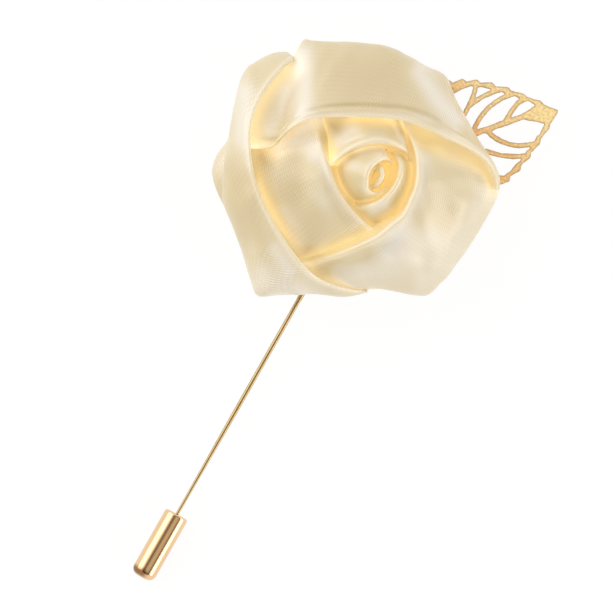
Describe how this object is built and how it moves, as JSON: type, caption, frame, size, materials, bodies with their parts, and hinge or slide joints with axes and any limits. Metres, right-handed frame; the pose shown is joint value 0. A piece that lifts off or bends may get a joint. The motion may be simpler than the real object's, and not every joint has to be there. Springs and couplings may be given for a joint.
{
  "type": "flower lapel pin",
  "caption": "Lapel stick pin with a folded satin rose, a pierced gold leaf behind it and a bullet clutch on the needle's point.",
  "frame": {"origin": "centre of the resting face on the back of the round pad behind the rose", "axes": "+Z out of the rose's face, +Y along the needle from the clutch to the rose"},
  "size_m": [0.0488, 0.1021, 0.0206],
  "materials": {
    "satin": "satin",
    "felt": "matte",
    "leaf_gold": "satin",
    "pin_gold": "polished",
    "clutch_gold": "polished"
  },
  "bodies": {
    "pin": {"backing_disc": "felt", "stick_pin": "pin_gold", "leaf": "leaf_gold", "bud_core": "satin", "bud_wrap": "satin", "petal_inner_right": "satin", "petal_inner_top": "satin", "petal_inner_left": "satin", "petal_outer_right": "satin", "petal_outer_top": "satin", "petal_outer_left": "satin", "petal_back_left": "satin"},
    "clutch": {"pin_clutch": "clutch_gold"}
  },
  "joints": [
    {"name": "clutch_slide", "type": "slide", "parent": "pin", "child": "clutch", "axis": [0, -1, 0], "range_m": [0, 0.02]}
  ]
}
